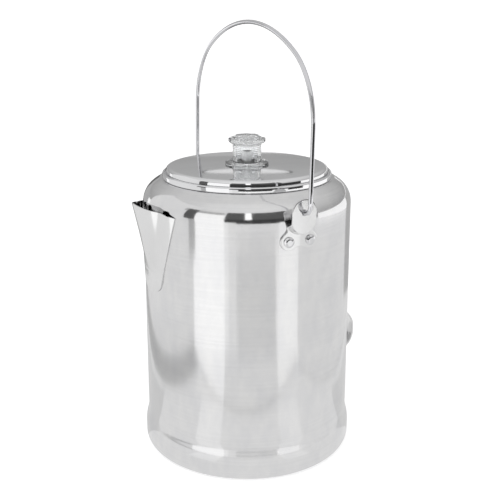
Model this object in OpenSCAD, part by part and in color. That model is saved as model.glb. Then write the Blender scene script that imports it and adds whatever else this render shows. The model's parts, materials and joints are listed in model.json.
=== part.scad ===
// Camping coffee percolator: drawn aluminium pot with a sheet spout, wire bail, lift-off lid with a
// clear perk knob, and inside it a pump tube that carries a lidded grounds basket.
// Origin: centre of the flat base. +Z up, -X towards the spout, the bail's ears on the Y axis.

/* [Pot] */
// Outside radius of the straight wall
pot_r = 89.7; // [89:0.1:90.5]
// Thickness of the pot's sheet
pot_wall = 1.2; // [0.9:0.1:1.5]
// Outside radius of the swelled band at the foot
foot_r = 92.9; // [91.5:0.1:94]
// Radius of the rounded corner under the foot
foot_corner = 8; // [5:0.5:12]
// Height at which the foot's swell starts to narrow
foot_band_z = 15; // [12:0.5:20]
// Height at which the foot has narrowed to the straight wall
foot_blend_z = 31; // [26:0.5:44]
// Height at which the shoulder starts
shoulder_z = 221.5; // [218:0.5:222]
// Radius of the shoulder's bend
shoulder_bend = 20; // [18:0.5:20]
// Outside radius of the ledge that the lid rests on
ledge_r = 74.7; // [74:0.1:76]
// Height of that ledge
ledge_z = 241.8; // [240:0.1:244]
// Inside radius of the mouth
mouth_r = 69.5; // [68:0.1:70]

/* [Spout] */
// Height of the spout's lowest edge
spout_bottom_z = 152; // [148:1:156]
// Height of the pouring tip
spout_tip_z = 228.6; // [224:0.2:232]
// How much lower the lip is where it meets the pot
spout_lip_drop = 7.2; // [4:0.2:10]
// Reach of the tip beyond the wall
spout_reach = 13.5; // [12:0.5:18]
// Thickness of the spout's sheet
spout_wall = 1; // [0.8:0.1:1.2]
// Diameter of a strainer hole behind the spout
strainer_d = 10; // [6:0.5:11]

/* [Bail] */
// Radius of the bail's wire
wire_r = 1.75; // [1.4:0.05:1.9]
// Half the distance between the bail's legs
bail_half_span = 105.3; // [104.5:0.1:107]
// Height of the bail's pivot
pivot_z = 230.7; // [229:0.1:232]
// Height where the arch springs from the straight legs
spring_z = 295; // [285:0.5:300]
// Height of the middle of the wire at the top of the arch
bail_top_z = 369.6; // [366:0.2:376]
// Radius of the arch's crown
crown_r = 147; // [140:1:155]
// How far the bail leans back from upright, away from the spout
bail_lean = 1; // [-3:0.5:3]

/* [Ears] */
// Thickness of an ear's sheet
ear_wall = 1.6; // [1.4:0.1:1.8]
// Distance from the pot's axis to the outer face of the ear's raised boss
boss_face = 97.5; // [97:0.1:98]
// Half the width of the raised boss
boss_half = 10.75; // [10:0.25:11.5]
// Radius of the hole that the bail's pin turns in
ear_hole_r = 2.4; // [2.2:0.1:2.6]
// Height of an ear's two rivets
ear_rivet_z = 206.5; // [205:0.5:208]
// Distance from the ear's middle to each rivet
ear_rivet_side = 9.4; // [9:0.1:10]

/* [Tilt handle] */
// Height of the middle of the finger loop
tilt_z = 84; // [78:1:88]
// Outside radius of the finger loop
tilt_loop_r = 21.5; // [20:0.1:24]
// Width of the loop's strap
tilt_width = 14; // [12:1:16]
// Thickness of the loop's strap
tilt_wall = 1.8; // [1.5:0.1:2]
// Distance from the loop's middle to each of its rivets
tilt_rivet_side = 29; // [28:0.5:31]

/* [Lid] */
// Outside radius of the lid's hemmed rim
lid_r = 72.4; // [72:0.1:73]
// Height of the hem above the ledge
hem_h = 5; // [4.5:0.1:5.5]
// Thickness of the lid's sheet
lid_wall = 1.1; // [0.9:0.1:1.2]
// Height of the lid's raised top above the ledge, at its edge
lid_rise = 9.5; // [9:0.1:10]
// Further rise of the top from its edge to the knob
lid_crown = 1; // [0.6:0.1:1.4]
// Depth of the plug below the ledge
plug_depth = 7.5; // [6:0.5:9]
// Radius of the hole that the knob sits in
lid_hole_r = 11.4; // [11.3:0.1:11.6]

/* [Knob] */
// Radius of the knob's top flange
knob_flange_r = 15.6; // [15:0.1:17]
// Radius of the knob's neck
knob_neck_r = 12.1; // [11.8:0.1:12.6]
// Radius of the knob's skirt
knob_skirt_r = 19.1; // [18.5:0.1:20]
// Height of the knob above the lid
knob_h = 24.6; // [22:0.2:26]
// Radius of the knob's hollow
knob_hollow_r = 9.6; // [9.4:0.1:9.8]

/* [Pump and basket] */
// Outside radius of the pump tube
tube_r = 4.15; // [4:0.05:4.2]
// Inside radius of the pump tube
tube_bore_r = 3.35; // [3.2:0.05:3.4]
// Height of the pump tube's top
tube_top_z = 263.5; // [260:0.5:264]
// Radius of the pump's bell-shaped base
bell_r = 36; // [32:1:40]
// Height of the basket's floor
basket_z = 150; // [145:1:155]
// Outside radius of the basket
basket_r = 52; // [48:1:54]
// Height of the basket
basket_h = 68; // [64:1:70]
// Thickness of the basket's sheet
basket_wall = 0.8; // [0.7:0.1:1]
// Diameter of the small holes in the basket and its cover
perforation_d = 2.2; // [1.8:0.1:2.6]

/* [Hidden] */
$fn = 96;
slip = 0.02;         // gap between pieces that are fixed to each other
loose = 0.3;         // gap between pieces that slide past each other
eps = 0.01;          // overlap that makes touching shapes one solid
through = 300;       // longer than any hole
aluminium = "#c9cacc";
polished = "#dcdde0";
steel = "#b8babd";
clear_plastic = [0.93, 0.95, 0.96, 0.4];

// The pot's outline

// Points of an arc in the outline's plane, from angle a to angle b
function arc(cx, cz, r, a, b, n) =
    [for (i = [0:n]) let (t = a + (b - a) * i / n) [cx + r * cos(t), cz + r * sin(t)]];
function smooth(t) = t * t * (3 - 2 * t);

shoulder_cx = pot_r - shoulder_bend;
// Angle on the shoulder's bend at which a straight line to the ledge leaves it
ledge_dx = ledge_r - shoulder_cx;
ledge_dz = ledge_z - shoulder_z;
shoulder_end = atan2(ledge_dz, ledge_dx) - acos(shoulder_bend / norm([ledge_dx, ledge_dz]));
lip_depth = 5;       // length of the mouth's turned-down lip
lip_bend = 1.6;      // outside bend of that lip
foot_steps = 8;

function pot_outline() = concat(
    [[0, 0]],
    arc(foot_r - foot_corner, foot_corner, foot_corner, -90, 0, 8),
    [for (i = [0:foot_steps]) let (t = i / foot_steps)
        [foot_r + (pot_r - foot_r) * smooth(t), foot_band_z + (foot_blend_z - foot_band_z) * t]],
    arc(shoulder_cx, shoulder_z, shoulder_bend, 0, shoulder_end, 9),
    [[ledge_r, ledge_z]],
    arc(mouth_r + lip_bend, ledge_z - lip_bend, lip_bend, 90, 180, 4),
    [[mouth_r, ledge_z - lip_depth]]);

// A path moved sideways by d, to its left as it runs
function side_step(p, d) = [for (i = [0:len(p) - 1])
    let (a = p[max(i - 1, 0)], b = p[min(i + 1, len(p) - 1)], v = (b - a) / norm(b - a))
    p[i] + d * [-v[1], v[0]]];
function reversed(p) = [for (i = [len(p) - 1:-1:0]) p[i]];

// Pieces that stand on the wall are drawn along +X and turned to their place
module at_wall(azimuth, z) {
    rotate([0, 0, azimuth]) translate([pot_r, 0, z]) rotate([0, 90, 0]) children();
}

ear_rivet_turn = asin(ear_rivet_side / pot_r);
ear_rivets = [for (side = [-90, 90]) for (turn = [-ear_rivet_turn, ear_rivet_turn]) side + turn];
rivet_shank_r = 2;
tilt_rivet_zs = [tilt_z - tilt_rivet_side, tilt_z + tilt_rivet_side];

// Strainer holes behind the spout: [azimuth from the spout's middle, height]
strainer_pitch = 15;                              // height between the rows
strainer_top_z = 220.5;
strainer_turn = 8.5;                              // half the turn between holes of a row
strainer_holes = [for (row = [0:2]) for (k = [0:2 - row])
    [(2 * k - (2 - row)) * strainer_turn, strainer_top_z - row * strainer_pitch]];

module wall_hole(d) {
    cylinder(d = d, h = 10 * pot_wall, center = true);
}

module pot_body() {
    outer = pot_outline();
    inner = side_step(outer, pot_wall);
    last = len(outer) - 1;
    // the inner path starts on the axis and stops level with the lip's edge
    inside = concat(
        [[0, pot_wall]],
        [for (i = [1:last - 1]) inner[i]],
        [[mouth_r + pot_wall, outer[last][1]]]);
    color(aluminium) difference() {
        rotate_extrude() polygon(concat(outer, reversed(inside)));
        for (a = ear_rivets) at_wall(a, ear_rivet_z) wall_hole(2 * rivet_shank_r + 2 * slip);
        for (z = tilt_rivet_zs) at_wall(0, z) wall_hole(2 * rivet_shank_r + 2 * slip);
        for (h = strainer_holes) at_wall(180 + h[0], h[1]) wall_hole(strainer_d);
    }
}

// Spout: one bent sheet. u runs across it from edge to edge (-1 to 1), s up it (0 to 1)

spout_foot_turn = 11.9;    // half the turn round the pot that the sheet covers, at its foot
spout_lip_turn = 23.9;     // and at its lip
spout_foot_round = 11;     // height of the rounded foot
spout_fold_z = spout_bottom_z + 17;   // the sheet lies flat on the wall below this
spout_nose = 0.16;         // roundness of the fold along its front
spout_rows = 14;
spout_half = 9;

function spout_turn(s) = spout_foot_turn + (spout_lip_turn - spout_foot_turn) * s;
function spout_low(u) = spout_bottom_z + spout_foot_round * (1 - sqrt(max(0, 1 - u * u)));
function spout_high(u) = spout_tip_z - spout_lip_drop * abs(u);
function spout_z(s, u) = spout_low(u) + (spout_high(u) - spout_low(u)) * s;
function spout_fold(u) = 1 - (sqrt(u * u + spout_nose * spout_nose) - spout_nose)
    / (sqrt(1 + spout_nose * spout_nose) - spout_nose);
function spout_stand(z) = spout_reach * max(0, (z - spout_fold_z) / (spout_tip_z - spout_fold_z));
function spout_point(s, u, out) =
    let (z = spout_z(s, u), a = 180 + u * spout_turn(s),
        r = pot_r + 0.05 + out + spout_stand(z) * spout_fold(u))
    [r * cos(a), r * sin(a), z];

module spout() {
    wide = 2 * spout_half + 1;
    points = [for (out = [spout_wall, 0]) for (i = [0:spout_rows]) for (j = [-spout_half:spout_half])
        spout_point(i / spout_rows, j / spout_half, out)];
    layer = (spout_rows + 1) * wide;
    front = [for (i = [0:spout_rows - 1]) for (j = [0:wide - 2])
        let (a = i * wide + j) each [[a, a + wide, a + 1], [a + 1, a + wide, a + wide + 1]]];
    back = [for (f = front) [f[2] + layer, f[1] + layer, f[0] + layer]];
    top = spout_rows * wide;
    edges = concat(
        [for (j = [0:wide - 2]) [j, j + 1]],
        [for (i = [0:spout_rows - 1]) [i * wide + wide - 1, (i + 1) * wide + wide - 1]],
        [for (j = [wide - 2:-1:0]) [top + j + 1, top + j]],
        [for (i = [spout_rows - 1:-1:0]) [(i + 1) * wide, i * wide]]);
    rim = [for (e = edges) each [[e[0], e[1], e[0] + layer], [e[1], e[1] + layer, e[0] + layer]]];
    color(polished) polyhedron(points, concat(front, back, rim));
}

// Ears: a flange on the wall with two rivet lobes, and a raised boss that holds the bail's pin

boss_low_z = pivot_z - 6;
lobe_r = 7;

module ear_flange_outline() {
    for (s = [-1, 1]) translate([s * ear_rivet_side, ear_rivet_z]) circle(lobe_r);
    polygon([[-15.4, ear_rivet_z + 3.5], [-boss_half, boss_low_z - 4], [boss_half, boss_low_z - 4],
        [15.4, ear_rivet_z + 3.5], [ear_rivet_side, ear_rivet_z - 6], [0, ear_rivet_z - 4.6],
        [-ear_rivet_side, ear_rivet_z - 6]]);
}

module boss_outline(r) {
    translate([0, boss_low_z]) circle(r);
    translate([0, pivot_z]) circle(r);
    translate([-r, boss_low_z]) square([2 * r, pivot_z - boss_low_z]);
}

// Stands an outline drawn in (sideways, height) upright, reaching from x = a to x = b
module stand_up(a, b) {
    translate([a, 0, 0]) rotate([90, 0, 90]) linear_extrude(b - a) children();
}

module ear(azimuth) {
    color(polished) rotate([0, 0, azimuth]) difference() {
        union() {
            intersection() {
                stand_up(pot_r - 10, pot_r + 6) difference() {
                    ear_flange_outline();
                    translate([0, boss_low_z]) circle(boss_half - ear_wall);
                }
                cylinder(r = pot_r + ear_wall, h = pivot_z);
            }
            stand_up(boss_face - ear_wall, boss_face) boss_outline(boss_half);
            stand_up(pot_r - 10, boss_face - ear_wall / 2) difference() {
                translate([0, boss_low_z]) circle(boss_half);
                translate([0, boss_low_z]) circle(boss_half - ear_wall);
                translate([-20, boss_low_z]) square([40, 20]);
            }
        }
        cylinder(r = pot_r + slip, h = through);
        translate([0, 0, pivot_z]) rotate([0, 90, 0]) cylinder(r = ear_hole_r, h = through);
        for (s = [-1, 1]) rotate([0, 0, s * ear_rivet_turn])
            translate([0, 0, ear_rivet_z]) rotate([0, 90, 0])
                cylinder(r = rivet_shank_r + slip, h = through);
    }
}

// A rivet through a plate on the wall: domed head outside, flat tail inside
head_r = 4.3;
head_h = 2.3;
tail_r = 3.6;
tail_h = 1.2;
tail_gap = 0.1;     // keeps the flat tail clear of the wall's inner curve

module rivet(azimuth, z, plate) {
    dome_r = (head_r * head_r + head_h * head_h) / (2 * head_h);
    shank_in = pot_wall + tail_gap;
    color(aluminium) at_wall(azimuth, z) {
        translate([0, 0, -shank_in - tail_h]) cylinder(r = tail_r, h = tail_h);
        translate([0, 0, -shank_in - eps])
            cylinder(r = rivet_shank_r, h = shank_in + plate + slip + 2 * eps);
        translate([0, 0, plate + slip]) intersection() {
            translate([0, 0, head_h - dome_r]) sphere(dome_r);
            cylinder(r = head_r, h = head_h);
        }
    }
}

// Bail: one wire with a turned-in pin at each end, held by a flattened head behind the ear

bend_r = 6;                                      // bend from the leg into the pin
bail_rise = bail_top_z - spring_z;
// Radius of the arch's corners, so that crown, corners and legs are tangent
haunch_r = (pow(crown_r, 2) - pow(bail_half_span, 2) - pow(bail_rise - crown_r, 2))
    / (2 * (crown_r - bail_half_span));
haunch_y = bail_half_span - haunch_r;
crown_cz = bail_top_z - crown_r;
haunch_turn = atan2(spring_z - crown_cz, haunch_y);   // where crown and corner meet, from the Y axis
pin_head_r = 2.9;
pin_head_in = 91.2;
pin_head_out = 93.2;

// A bent length of wire in the Y-Z plane
module wire_bend(y, z, r, a, b) {
    translate([0, y, z]) rotate([90, 0, 90]) rotate([0, 0, a]) rotate_extrude(angle = b - a)
        translate([r, 0]) circle(wire_r);
}

// Where two lengths of wire meet, a ball a hair wider than the wire makes them one solid
module joint_ball(y, z) {
    translate([0, y, z]) sphere(wire_r + eps);
}

module bail_handle() {
    pivot = [0, 0, pivot_z];
    color(steel) translate(pivot) rotate([0, bail_lean, 0]) translate(-pivot) union() {
        wire_bend(0, crown_cz, crown_r, haunch_turn, 180 - haunch_turn);
        for (side = [0, 1]) mirror([0, side, 0]) {
            wire_bend(haunch_y, spring_z, haunch_r, 0, haunch_turn);
            joint_ball(crown_r * cos(haunch_turn), crown_cz + crown_r * sin(haunch_turn));
            joint_ball(bail_half_span, spring_z);
            joint_ball(bail_half_span, pivot_z + bend_r);
            joint_ball(bail_half_span - bend_r, pivot_z);
            translate([0, bail_half_span, pivot_z + bend_r])
                cylinder(r = wire_r, h = spring_z - pivot_z - bend_r);
            wire_bend(bail_half_span - bend_r, pivot_z + bend_r, bend_r, -90, 0);
            translate([0, pin_head_in, pivot_z]) rotate([-90, 0, 0])
                cylinder(r = wire_r, h = bail_half_span - bend_r - pin_head_in);
            translate([0, pin_head_in, pivot_z]) rotate([-90, 0, 0])
                cylinder(r = pin_head_r, h = pin_head_out - pin_head_in);
        }
    }
}

// Tilt handle: a strap bent to a finger loop, with a riveted foot above and below

module tilt_handle() {
    color(polished) difference() {
        union() {
            translate([pot_r, tilt_width / 2, tilt_z]) rotate([90, 0, 0]) difference() {
                cylinder(r = tilt_loop_r, h = tilt_width);
                translate([0, 0, -1]) cylinder(r = tilt_loop_r - tilt_wall, h = tilt_width + 2);
            }
            intersection() {
                stand_up(pot_r - 10, pot_r + 6) translate([0, tilt_z]) for (s = [0, 1]) mirror([0, s]) {
                    translate([0, tilt_rivet_side]) circle(tilt_width / 2);
                    translate([-tilt_width / 2, tilt_loop_r - tilt_wall])
                        square([tilt_width, tilt_rivet_side - tilt_loop_r + tilt_wall]);
                }
                cylinder(r = pot_r + tilt_wall, h = through);
            }
        }
        cylinder(r = pot_r + slip, h = through);
        for (z = tilt_rivet_zs) translate([0, 0, z]) rotate([0, 90, 0])
            cylinder(r = rivet_shank_r + slip, h = through);
    }
}

// Lid: hemmed rim, narrow groove, raised top, and a plug that fits the mouth

seat_z = ledge_z + 0.1;
hem_z = seat_z + hem_h;
lid_edge_z = seat_z + lid_rise;
lid_top_z = lid_edge_z + lid_crown;
plug_r = mouth_r - loose;
plug_z = seat_z - plug_depth;
lid_edge_r = plug_r - 2.7;     // where the raised top's rounded edge ends
edge_bend = lid_edge_z - hem_z - 0.6;
groove_h = 1.8;                // depth of the groove inside the hem
knob_seat_r = 21;
notch_r = 14.6;
notch_turn = 50;

module lid() {
    outer = concat(
        [[lid_r, seat_z], [lid_r, hem_z - 0.8]],
        arc(lid_r - 0.8, hem_z - 0.8, 0.8, 0, 90, 4),
        [[lid_r - 1.6, hem_z], [lid_r - 1.9, hem_z - groove_h], [plug_r + 0.6, hem_z - groove_h],
            [plug_r, hem_z + 0.6]],
        arc(plug_r - edge_bend, lid_edge_z - edge_bend, edge_bend, 0, 85, 6),
        [[knob_seat_r, lid_top_z], [0, lid_top_z]]);
    inner = concat(
        [[0, lid_top_z - lid_wall], [knob_seat_r, lid_top_z - lid_wall]],
        reversed(arc(plug_r - edge_bend, lid_edge_z - edge_bend, edge_bend - lid_wall, 0, 85, 6)),
        [[plug_r - lid_wall, plug_z], [plug_r, plug_z], [plug_r, seat_z]]);
    color(polished) difference() {
        rotate_extrude() polygon(concat(outer, inner));
        cylinder(r = lid_hole_r, h = through);
        // bayonet notches, a quarter turn from the knob's lugs
        for (a = [0, 180]) rotate([0, 0, a]) rotate([0, 0, -notch_turn / 2])
            translate([0, 0, lid_top_z - 3]) rotate_extrude(angle = notch_turn)
                translate([lid_hole_r - 1, 0]) square([notch_r - lid_hole_r + 1, 6]);
    }
}

// Knob: clear moulding whose lugs lock under the lid

knob_z = lid_top_z + 0.1;
lug_z = lid_top_z - lid_wall - 0.3;
lug_h = 2;
spigot_r = lid_hole_r - loose;
lug_r = notch_r - 0.5;
lug_turn = 40;
flange_h = 5.6;

module lid_knob() {
    top = knob_z + knob_h;
    flare = knob_skirt_r - knob_neck_r;
    color(clear_plastic) {
        rotate_extrude() polygon(concat(
            [[knob_hollow_r, lug_z - lug_h], [spigot_r, lug_z - lug_h], [spigot_r, knob_z],
                [knob_skirt_r, knob_z], [knob_skirt_r, knob_z + 1.6]],
            arc(knob_skirt_r, knob_z + 1.6 + flare, flare, 260, 185, 6),
            [[knob_neck_r, top - flange_h - 1.6], [knob_flange_r - 0.6, top - flange_h],
                [knob_flange_r, top - flange_h + 0.8], [knob_flange_r, top - 1.6],
                [knob_flange_r - 4.6, top], [0, top]],
            [[0, top - 6.4], [knob_hollow_r - 2, top - 7], [knob_hollow_r, top - 9]]));
        for (a = [90, 270]) rotate([0, 0, a - lug_turn / 2]) translate([0, 0, lug_z - lug_h])
            rotate_extrude(angle = lug_turn) translate([knob_hollow_r + 0.4, 0])
                square([lug_r - knob_hollow_r - 0.4, lug_h]);
    }
}

// Pump: tube with a rolled bead that stops the basket, on a bell-shaped base

tube_foot_z = 9;
bead_r = 5.9;
bead_h = 2.4;
bead_z = basket_z - 1.3;      // the sleeve's flange rests on the bead

module pump_tube() {
    color(aluminium) difference() {
        union() {
            translate([0, 0, tube_foot_z]) cylinder(r = tube_r, h = tube_top_z - tube_foot_z);
            rotate_extrude() polygon([[tube_r - 0.4, bead_z - bead_h], [bead_r, bead_z - 0.8],
                [bead_r, bead_z], [tube_r - 0.4, bead_z]]);
        }
        cylinder(r = tube_bore_r, h = through);
    }
}

bell_z = pot_wall + 0.1;
bell_wall = 1;
bell_rim = 4;           // width of the flat rim that stands on the pot's floor
bell_hub_z = 13;        // height where the cone meets the hub
bell_hub_top_z = bell_hub_z + 7;
bell_hub_r = tube_r + 1.1;
bell_notches = 6;       // holes that let water in under the bell
bell_notch_r = 3;
bell_notch_in = 12;     // from the bell's edge to a hole's middle

module pump_base() {
    color(aluminium) difference() {
        rotate_extrude() polygon([[bell_r, bell_z], [bell_r, bell_z + bell_wall],
            [bell_r - bell_rim, bell_z + bell_wall], [bell_hub_r + 3, bell_hub_z],
            [bell_hub_r, bell_hub_z + 1.5], [bell_hub_r, bell_hub_top_z],
            [tube_r + slip, bell_hub_top_z], [tube_r + slip, bell_hub_z - bell_wall],
            [bell_hub_r + 2.6, bell_hub_z - bell_wall], [bell_r - bell_rim - 0.6, bell_z]]);
        for (k = [1:bell_notches]) rotate([0, 0, k * 360 / bell_notches])
            translate([bell_r - bell_notch_in, 0, 0]) cylinder(r = bell_notch_r, h = bell_hub_z);
    }
}

// Basket: perforated cup, the sleeve that guides it on the tube, and its perforated cover

perforation_first_r = 14;
perforation_last_r = 42;
perforation_rings = 7;       // from one ring of small holes to the next
perforation_pitch = 8.5;     // along a ring
function ring_count(r) = floor(2 * PI * r / perforation_pitch);

module perforations(z) {
    for (r = [perforation_first_r:perforation_rings:perforation_last_r]) for (k = [1:ring_count(r)])
        rotate([0, 0, (k + r) * 360 / ring_count(r)]) translate([r, 0, z - 1])
            cylinder(d = perforation_d, h = basket_wall + 2, $fn = 24);
}

sleeve_r = tube_r + 1.05;
basket_top_z = basket_z + basket_h;
rim_out = 1.8;

module basket_cup() {
    color(aluminium) difference() {
        rotate_extrude() polygon(concat(
            [[sleeve_r + slip, basket_z]],
            arc(basket_r - 5, basket_z + 5, 5, -90, 0, 5),
            [[basket_r, basket_top_z - 2], [basket_r + rim_out, basket_top_z - 2],
                [basket_r + rim_out, basket_top_z], [basket_r - basket_wall, basket_top_z]],
            reversed(arc(basket_r - 5, basket_z + 5, 5 - basket_wall, -90, 0, 5)),
            [[sleeve_r + slip, basket_z + basket_wall]]));
        perforations(basket_z);
    }
}

module basket_sleeve() {
    flange_r = 9;
    flange_z = basket_z - 1.2;
    color(aluminium) difference() {
        union() {
            translate([0, 0, flange_z]) cylinder(r = sleeve_r, h = basket_h + 1.2 - 7);
            translate([0, 0, flange_z]) cylinder(r = flange_r, h = 1.2 - slip);
            translate([0, 0, basket_z + basket_wall + slip]) cylinder(r = sleeve_r + 1.6, h = 1.2);
        }
        cylinder(r = tube_r + 0.15, h = through);
    }
}

cover_r = basket_r + rim_out;
cover_drop = 4;
cover_z = basket_top_z + 0.1;
collar_r = 9;

module basket_cover() {
    floor_z = cover_z - cover_drop;
    drop_r = basket_r - basket_wall - 0.5;
    color(aluminium) difference() {
        rotate_extrude() polygon([[cover_r, cover_z], [cover_r, cover_z + basket_wall],
            [drop_r - basket_wall, cover_z + basket_wall],
            [drop_r - basket_wall - 1, floor_z + basket_wall],
            [tube_r + 1.4, floor_z + basket_wall], [tube_r + 1.4, floor_z],
            [drop_r - 0.6, floor_z], [drop_r, floor_z + 1], [drop_r, cover_z]]);
        perforations(floor_z);
    }
}

module cover_collar() {
    floor_z = cover_z - cover_drop;
    color(polished) rotate_extrude() polygon([[tube_r + 0.4, floor_z + basket_wall + slip],
        [collar_r, floor_z + basket_wall + slip], [collar_r, floor_z + 1.8], [tube_r + 1.6, floor_z + 2.4],
        [tube_r + 1.6, floor_z + 9], [tube_r + 0.4, floor_z + 9]]);
}

pot_body();
spout();
ear(-90);  // bail_ear_front
ear(90);  // bail_ear_rear
rivet(ear_rivets[0], ear_rivet_z, ear_wall);  // ear_rivet_1
rivet(ear_rivets[1], ear_rivet_z, ear_wall);  // ear_rivet_2
rivet(ear_rivets[2], ear_rivet_z, ear_wall);  // ear_rivet_3
rivet(ear_rivets[3], ear_rivet_z, ear_wall);  // ear_rivet_4
bail_handle();
tilt_handle();
rivet(0, tilt_rivet_zs[0], tilt_wall);  // tilt_rivet_1
rivet(0, tilt_rivet_zs[1], tilt_wall);  // tilt_rivet_2
lid();
lid_knob();
pump_tube();
pump_base();
basket_cup();
basket_sleeve();
basket_cover();
cover_collar();
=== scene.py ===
import json
import math

import bmesh
import bpy
from mathutils import Matrix, Vector


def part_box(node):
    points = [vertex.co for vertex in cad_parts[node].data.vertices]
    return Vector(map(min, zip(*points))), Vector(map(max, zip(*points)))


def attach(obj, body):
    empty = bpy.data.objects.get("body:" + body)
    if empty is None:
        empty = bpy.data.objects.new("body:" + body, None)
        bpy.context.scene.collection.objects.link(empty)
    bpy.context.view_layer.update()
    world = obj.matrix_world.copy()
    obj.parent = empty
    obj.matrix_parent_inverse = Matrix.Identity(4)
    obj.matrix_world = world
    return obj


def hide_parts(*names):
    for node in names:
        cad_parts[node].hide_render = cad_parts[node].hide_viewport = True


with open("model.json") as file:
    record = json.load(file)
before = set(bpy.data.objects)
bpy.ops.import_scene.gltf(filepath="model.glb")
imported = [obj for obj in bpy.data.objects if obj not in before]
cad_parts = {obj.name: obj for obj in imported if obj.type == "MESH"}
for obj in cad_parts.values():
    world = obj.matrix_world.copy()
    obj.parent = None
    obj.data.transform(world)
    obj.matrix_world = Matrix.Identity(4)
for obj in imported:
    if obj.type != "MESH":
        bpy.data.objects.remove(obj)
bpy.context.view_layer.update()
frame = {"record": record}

# The looks of a camping coffee percolator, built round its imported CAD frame.
# Lengths are millimetres in the CAD frame until a mesh is made, and angles are degrees.
# Only the camera, the floor and the studio round the pot are laid out in metres.

MM = 0.001
MIX_A, MIX_B, MIX_RESULT = 6, 7, 2      # a Mix node's colour sockets, whose names aren't unique
record = frame["record"]
BODY = {node: body for body, nodes in record["behaviour"]["bodies"].items() for node in nodes}
SLOT = {part["node"]: part["material_slot"] for part in record["subparts"]}


def span(node):
    """Lowest and highest corner of a CAD node."""
    low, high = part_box(node)
    return low / MM, high / MM


def sin(angle):
    return math.sin(math.radians(angle))


def cos(angle):
    return math.cos(math.radians(angle))


def smooth(t):
    t = min(max(t, 0), 1)
    return t * t * (3 - 2 * t)


# ---------------------------------------------------------------- camera, floor and light

AZIMUTH = -27           # where the camera stands, counted from the front at -Y
ELEVATION = 16.45
AIM_HEIGHT = 0.1753     # the camera looks at this height on the pot's axis
DISTANCE = 0.7453
LENS = 60.87
SHIFT_X = 0.0061
FLOOR_GLOW = 0.5
SOFTBOX_AIM_HEIGHT = 0.15
DISC_AIM_HEIGHT = 0.25

# The metal shows what is round it, so the studio is a tent with panels, dark flags and a table in it, which
# only reflections see. Bearings are counted from the camera's, positive to its right.

# height over the horizon from 0 to 1, grey
SKY_BY_HEIGHT = [(0.0, 0.45), (0.1, 0.5), (0.3, 0.62), (0.7, 0.84), (1.0, 0.9)]
# 0 straight behind the pot to 1 behind the camera, grey
SKY_BY_BEARING = [(0.0, 0.72), (0.25, 0.8), (0.5, 0.83), (0.64, 0.92), (0.85, 1.0)]
# name, bearing, elevation, distance, width, height, radiance
SOFTBOXES = [("top_softbox", -20, 62, 1.6, 1.2, 1.2, 1.2)]
# name, first and last bearing, lowest and highest point, distance, brightness
CARDS = [
    ("left_panel", -52.5, -21, 0.0, 0.36, 0.36, 1.12),
    ("left_panel_top", -66, -22.5, 0.36, 0.42, 0.36, 0.45),
    ("left_panel_end", -62, -50, 0.205, 0.42, 0.355, 0.1),
    ("left_panel_foot", -57, -50, 0.115, 0.205, 0.355, 0.45),
    ("left_fade", -21, -17, 0.0, 0.20, 0.363, 0.95),
    ("left_fade_end", -17, -10, 0.0, 0.20, 0.363, 0.84),
    ("left_wall", -120, -52, 0.0, 0.6, 0.42, 0.8),
    ("left_flag", -178, -128, 0.03, 0.30, 0.45, 0.45),
    ("left_rim_flag", -178, -150, 0.03, 0.26, 0.40, 0.12),
    ("right_panel", 30, 50, 0.0, 0.19, 0.36, 1.0),
    ("right_flag", 128, 178, 0.0, 0.26, 0.45, 0.45),
    ("wire_flag", -22, 75, 0.12, 0.30, 0.62, 0.03),
    ("room_low", -21, 29, 0.0, 0.045, 0.5, 0.67),
    ("room_gap", -2, 5, 0.235, 0.95, 1.0, 1.3),
    ("room_middle", -22, -2, 0.235, 0.95, 1.0, 0.1),
    ("room_right", 5, 47, 0.235, 0.95, 1.0, 0.1),
]
# name, first and last bearing, inner and outer radius, lift, brightness
GROUNDS = [
    ("beyond", -180, 180, 0.20, 1.0, 0.0004, 0.76),
    ("beyond_left", -53, -21, 0.20, 0.8, 0.0005, 1.0),
    ("beyond_right", 29, 51, 0.20, 0.8, 0.0005, 0.92),
    ("beyond_middle", -8, 28, 0.36, 0.8, 0.0005, 0.68),
    ("table_left", -42, -21, 0.125, 0.23, 0.0009, 0.9),
    ("table_right", 27, 46, 0.125, 0.23, 0.0009, 0.86),
]
# name, left and right edge, far and near edge, lift, brightness
TABLES = [
    ("table_edge", -0.24, 0.24, -0.6, 0.219, 0.0006, 0.4),
    ("left_gap", -0.30, -0.222, -0.6, 0.219, 0.0007, 0.46),
    ("table", -0.222, 0.235, -0.6, 0.212, 0.0008, 0.8),
    ("rim_left", -0.20, -0.085, -0.6, 0.012, 0.0010, 0.66),
    ("rim_right", 0.085, 0.20, -0.6, 0.0, 0.0010, 0.68),
]
# name, bearing, elevation, distance, half width, half height, brightness
DISCS = [
    ("lid_disc", 180, 14.25, 1.5, 0.13, 0.03, 0.8),
    ("lid_disc_edge", 180, 14.25, 1.52, 0.141, 0.036, 0.12),
]


def direction(azimuth, elevation):
    """From the object towards a viewer, or a light, at that bearing. Azimuth 0 is in front, at -Y."""
    return Vector((sin(azimuth) * cos(elevation), -cos(azimuth) * cos(elevation), sin(elevation)))


def add_camera():
    camera = bpy.data.objects.new("camera", bpy.data.cameras.new("camera"))
    bpy.context.scene.collection.objects.link(camera)
    camera.data.lens = LENS
    camera.data.shift_x = SHIFT_X
    back = direction(AZIMUTH, ELEVATION)
    camera.location = Vector((0, 0, AIM_HEIGHT)) + DISTANCE * back
    camera.rotation_euler = back.to_track_quat("Z", "Y").to_euler()
    bpy.context.scene.camera = camera


def link(name, mesh):
    obj = bpy.data.objects.new(name, mesh)
    bpy.context.scene.collection.objects.link(obj)
    return obj


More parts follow.
